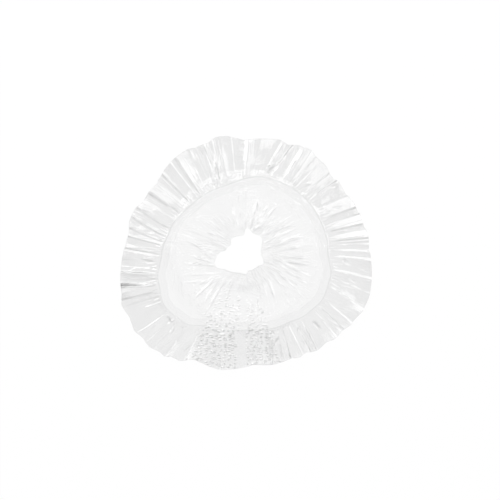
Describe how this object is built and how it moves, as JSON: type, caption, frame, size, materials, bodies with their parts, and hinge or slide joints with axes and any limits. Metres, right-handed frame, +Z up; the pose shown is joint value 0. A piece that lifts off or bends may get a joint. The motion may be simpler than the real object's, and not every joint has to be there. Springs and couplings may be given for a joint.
{
  "type": "disposable steering wheel cover",
  "caption": "Clear film cover in the form of a flat shower cap with an open centre: a gathered hole with an elastic edge, a rolled outer edge and a pleated rim that ends at an elastic mouth",
  "frame": {"origin": "middle of the box's underside, on the surface that the cover lies on", "axes": "+Z up out of the mouth, +X to the picture's right, +Y to the picture's top"},
  "size_m": [0.2778, 0.259, 0.0201],
  "materials": {
    "clear_film": "thin clear glossy polyethylene film",
    "elastic": "smooth translucent white elastic strip"
  },
  "bodies": {
    "root": {"film_body": "clear_film", "mouth_elastic": "elastic", "hole_elastic": "elastic"}
  },
  "joints": []
}
